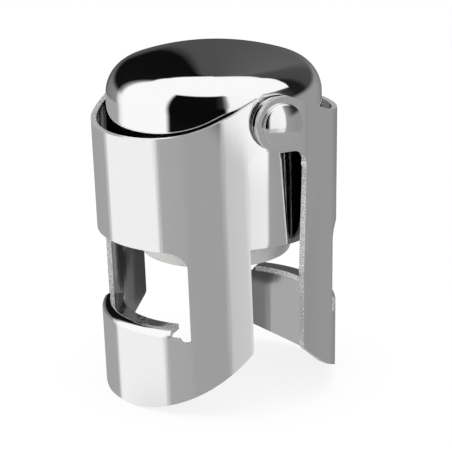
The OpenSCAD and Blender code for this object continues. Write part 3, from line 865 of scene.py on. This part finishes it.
def studio_world():
    """The studio round the stopper: white to the camera, even light, and soft panels for the gloss.

    The panels are bands of grey over the azimuth, measured from the camera's side. From below upwards
    they are a near floor of one level, the floor, a line of the table's edge, the walls, and white
    overhead. The lines above the floor and above the walls change their height with the azimuth.
    """
    world = bpy.data.worlds.new("studio")
    bpy.context.scene.world = world
    world.use_nodes = True
    nodes, links = world.node_tree.nodes, world.node_tree.links
    nodes.clear()

    def math(kind, a, b=None):
        return math_node(nodes, links, kind, a, b)

    direction = nodes.new("ShaderNodeTexCoord").outputs["Generated"]
    turn = nodes.new("ShaderNodeVectorRotate")
    turn.rotation_type = "Z_AXIS"
    turn.inputs["Angle"].default_value = -bpy.context.scene.stopper_studio.camera_azimuth
    links.new(direction, turn.inputs["Vector"])
    split = nodes.new("ShaderNodeSeparateXYZ")
    links.new(turn.outputs["Vector"], split.inputs["Vector"])
    x, y, z = (split.outputs[k] for k in "XYZ")
    # Azimuth from 0 to 1: 0.5 is back towards the camera, more is to the picture's right
    azimuth = math("MULTIPLY_ADD", math("ARCTAN2", x, math("MULTIPLY", y, -1.0)), 1 / (2 * pi))
    azimuth.node.inputs[2].default_value = 0.5
    elevation = math("MULTIPLY", math("ARCSINE", z), 180 / pi)
    floor = band(nodes, links, azimuth, [
        (-180, 0.30), (-176, 0.36), (-124, 0.40), (-117, 0.95), (-56, 0.95), (-50, 0.42), (-25, 0.40),
        (-22, 0.375), (11, 0.375), (17, 0.60), (34, 0.64), (39, 0.86), (57, 0.90), (60, 0.38), (84, 0.34),
        (95, 0.31), (120, 0.325), (140, 0.325), (160, 0.26), (180, 0.28)])
    table_line = band(nodes, links, azimuth, [
        (-180, 0.075), (-165, 0.10), (-150, 0.20), (-125, 0.27), (-117, 0.9), (-110, 1.05), (-52, 1.05),
        (-47, 0.003), (12, 0.003), (16, 0.95), (58, 1.05), (60, 0.36), (84, 0.33), (95, 0.31), (120, 0.325),
        (140, 0.325), (160, 0.24), (175, 0.10), (180, 0.075)])
    walls = band(nodes, links, azimuth, [
        (-180, 0.08), (-176, 0.08), (-173, 0.004), (-125, 0.006), (-118, 0.3), (-112, 1.05), (-52, 1.05),
        (-47, 0.003), (2, 0.003), (10, 0.03), (14, 0.3), (18, 1.0), (58, 1.05), (61, 0.4), (67, 0.3),
        (85, 0.045), (100, 0.013), (115, 0.013), (125, 0.06), (150, 0.07), (165, 0.12), (180, 0.08)])
    # Angles of the two lines below and above the horizon, as degrees over 100
    line_down = band(nodes, links, azimuth, [
        (-180, 0.15), (-176, 0.11), (-124, 0.11), (-119, 0.15), (180, 0.15)])
    line_up = band(nodes, links, azimuth, [
        (-180, 0.60), (-140, 0.60), (-118, 0.52), (-100, 0.44), (-60, 0.43), (0, 0.45), (13, 0.46),
        (50, 0.36), (90, 0.32), (100, 0.30), (110, 0.45), (130, 0.60), (180, 0.62)])
    # Each band gives way to the next over some degrees of elevation
    above = math("SUBTRACT", elevation, math("MULTIPLY", line_up, 100.0))
    to_top = smooth(nodes, links, above, -2.0, 2.0)
    to_walls = smooth(nodes, links, elevation, 2.0, 12.0)
    below = math("ADD", elevation, math("MULTIPLY", line_down, 100.0))
    to_table_line = smooth(nodes, links, below, -0.8, 0.8)
    near_floor = math("SUBTRACT", 1.0, smooth(nodes, links, elevation, -28.0, -23.0))
    near_level, top_level, even_level = 0.38, 1.05, 0.90
    floor = mixed(nodes, links, near_floor, floor, [near_level] * 3)
    lower = mixed(nodes, links, to_table_line, floor, table_line)
    middle = mixed(nodes, links, to_walls, lower, walls)
    panels = mixed(nodes, links, to_top, middle, [top_level] * 3)
    gloss, even, white = (nodes.new("ShaderNodeBackground") for _ in range(3))
    links.new(panels, gloss.inputs["Color"])
    for plain in (even, white):
        plain.inputs["Color"].default_value = (1, 1, 1, 1)
    even.inputs["Strength"].default_value = even_level
    path = nodes.new("ShaderNodeLightPath")
    shiny = math("MAXIMUM", path.outputs["Is Glossy Ray"], path.outputs["Is Transmission Ray"])
    first, second = nodes.new("ShaderNodeMixShader"), nodes.new("ShaderNodeMixShader")
    links.new(shiny, first.inputs["Fac"])
    links.new(even.outputs[0], first.inputs[1])
    links.new(gloss.outputs[0], first.inputs[2])
    links.new(path.outputs["Is Camera Ray"], second.inputs["Fac"])
    links.new(first.outputs[0], second.inputs[1])
    links.new(white.outputs[0], second.inputs[2])
    out = nodes.new("ShaderNodeOutputWorld")
    links.new(second.outputs[0], out.inputs["Surface"])


def math_node(nodes, links, kind, a, b=None):
    """One Math node whose inputs are sockets or numbers."""
    node = nodes.new("ShaderNodeMath")
    node.operation = kind
    for k, value in enumerate((a, b)):
        if isinstance(value, (int, float)):
            node.inputs[k].default_value = value
        elif value is not None:
            links.new(value, node.inputs[k])
    return node.outputs[0]


def band(nodes, links, azimuth, stops):
    """Grey levels over the azimuth, from (degrees, level) pairs with straight runs between."""
    node = nodes.new("ShaderNodeValToRGB")
    ramp = node.color_ramp
    ramp.interpolation = "LINEAR"
    while len(ramp.elements) < len(stops):
        ramp.elements.new(0.5)
    for element, (degrees, level) in zip(ramp.elements, stops):
        element.position = degrees / 360 + 0.5
        element.color = (level, level, level, 1)
    links.new(azimuth, node.inputs["Fac"])
    return node.outputs["Color"]


def smooth(nodes, links, value, low, high):
    """0 below low, 1 above high, an even S between."""
    node = nodes.new("ShaderNodeMapRange")
    node.interpolation_type = "SMOOTHSTEP"
    node.inputs["From Min"].default_value = low
    node.inputs["From Max"].default_value = high
    links.new(value, node.inputs["Value"])
    return node.outputs["Result"]


class STOPPER_OT_studio(bpy.types.Operator):
    """Set up the floor, the light and the camera"""

    bl_idname = "stopper.studio"
    bl_label = "Studio"

    def execute(self, context):
        scene, studio = context.scene, context.scene.stopper_studio
        half = studio.floor_size / 2
        mesh = bpy.data.meshes.new("floor")
        corners = np.array([(-half, -half, 0), (half, -half, 0), (half, half, 0), (-half, half, 0)])
        mesh.from_pydata(corners.tolist(), [], [(0, 1, 2, 3)])
        floor = bpy.data.objects.new("floor", mesh)
        scene.collection.objects.link(floor)
        material, nodes, links, shader = new_material("pale_floor")
        shader.inputs["Base Color"].default_value = (0.93, 0.93, 0.93, 1)
        shader.inputs["Roughness"].default_value = 0.9
        shader.inputs["Specular IOR Level"].default_value = 0.0
        # To the camera the floor is mostly plain white, and the rest its colour under the shadow
        white = nodes.new("ShaderNodeEmission")
        halfway, path = nodes.new("ShaderNodeMixShader"), nodes.new("ShaderNodeLightPath")
        white_share = 0.84
        share = math_node(nodes, links, "MULTIPLY", path.outputs["Is Camera Ray"], white_share)
        links.new(share, halfway.inputs["Fac"])
        links.new(shader.outputs["BSDF"], halfway.inputs[1])
        links.new(white.outputs["Emission"], halfway.inputs[2])
        links.new(halfway.outputs["Shader"], material.node_tree.nodes["Material Output"].inputs["Surface"])
        mesh.materials.append(material)
        # The gloss looks past the floor to the studio's lower panels
        floor.visible_glossy = False
        studio_world()
        lamp = bpy.data.lights.new("overhead_panel", "AREA")
        lamp.shape = "DISK"
        lamp.size = 0.5
        lamp.energy = 1.6
        lamp_object = bpy.data.objects.new("overhead_panel", lamp)
        lamp_object.location = (-0.05, -0.05, 0.6)
        scene.collection.objects.link(lamp_object)
        lamp_object.visible_glossy = False
        # The camera aims at a point below the hinge line and a little beside the middle
        aim_below_hinge, aim_right, aim_down = 16.74 * MM, 1.7 * MM, 4.43 * MM
        azimuth, elevation, roll = studio.camera_azimuth, studio.camera_elevation, studio.camera_roll
        back = np.array([sin(azimuth) * cos(elevation), -cos(azimuth) * cos(elevation), sin(elevation)])
        right = np.array([cos(azimuth), sin(azimuth), 0.0])
        up = np.cross(back, right)
        aim = np.array([0, 0, HINGE_Z - aim_below_hinge]) + aim_right * right - aim_down * up
        side, above = cos(roll) * right + sin(roll) * up, cos(roll) * up - sin(roll) * right
        lens = bpy.data.cameras.new("camera")
        lens.lens = studio.camera_lens
        lens.sensor_width = 36
        lens.clip_start = 0.01
        camera = bpy.data.objects.new("camera", lens)
        scene.collection.objects.link(camera)
        place = np.eye(4)
        place[:3, 0], place[:3, 1], place[:3, 2] = side, above, back
        place[:3, 3] = aim + studio.camera_distance * back
        camera.matrix_world = Matrix(place.tolist())
        scene.camera = camera
        scene.view_settings.view_transform = "Standard"
        return {"FINISHED"}


class STOPPER_PT_panel(bpy.types.Panel):
    """Lists the stopper's sizes, finishes and operators"""

    bl_label = "Champagne Stopper"
    bl_idname = "STOPPER_PT_panel"
    bl_space_type = "VIEW_3D"
    bl_region_type = "UI"
    bl_category = "Stopper"

    def draw(self, context):
        scene, layout = context.scene, self.layout
        for title, group in (("Sizes", scene.stopper_sizes), ("Finish", scene.stopper_finish),
                             ("Studio", scene.stopper_studio)):
            box = layout.box()
            box.label(text=title)
            for name in group.__annotations__:
                box.prop(group, name)
        for operator in OPERATORS:
            layout.operator(operator.bl_idname)


OPERATORS = (STOPPER_OT_cap, STOPPER_OT_clamps, STOPPER_OT_rivets, STOPPER_OT_seal,
             STOPPER_OT_inner_finishes, STOPPER_OT_spring, STOPPER_OT_studio)
GROUPS = {"stopper_sizes": StopperSizes, "stopper_finish": StopperFinish, "stopper_studio": StopperStudio}


def register():
    for cls in (*GROUPS.values(), *OPERATORS, STOPPER_PT_panel):
        bpy.utils.register_class(cls)
    for name, group in GROUPS.items():
        setattr(bpy.types.Scene, name, PointerProperty(type=group))


def unregister():
    for name in GROUPS:
        delattr(bpy.types.Scene, name)
    for cls in (STOPPER_PT_panel, *reversed(OPERATORS), *reversed(GROUPS.values())):
        bpy.utils.unregister_class(cls)


def main():
    register()
    bpy.ops.stopper.cap()
    bpy.ops.stopper.clamps()
    bpy.ops.stopper.rivets()
    bpy.ops.stopper.seal()
    bpy.ops.stopper.inner_finishes()
    bpy.ops.stopper.spring()
    bpy.ops.stopper.studio()


if __name__ == "__main__":
    main()
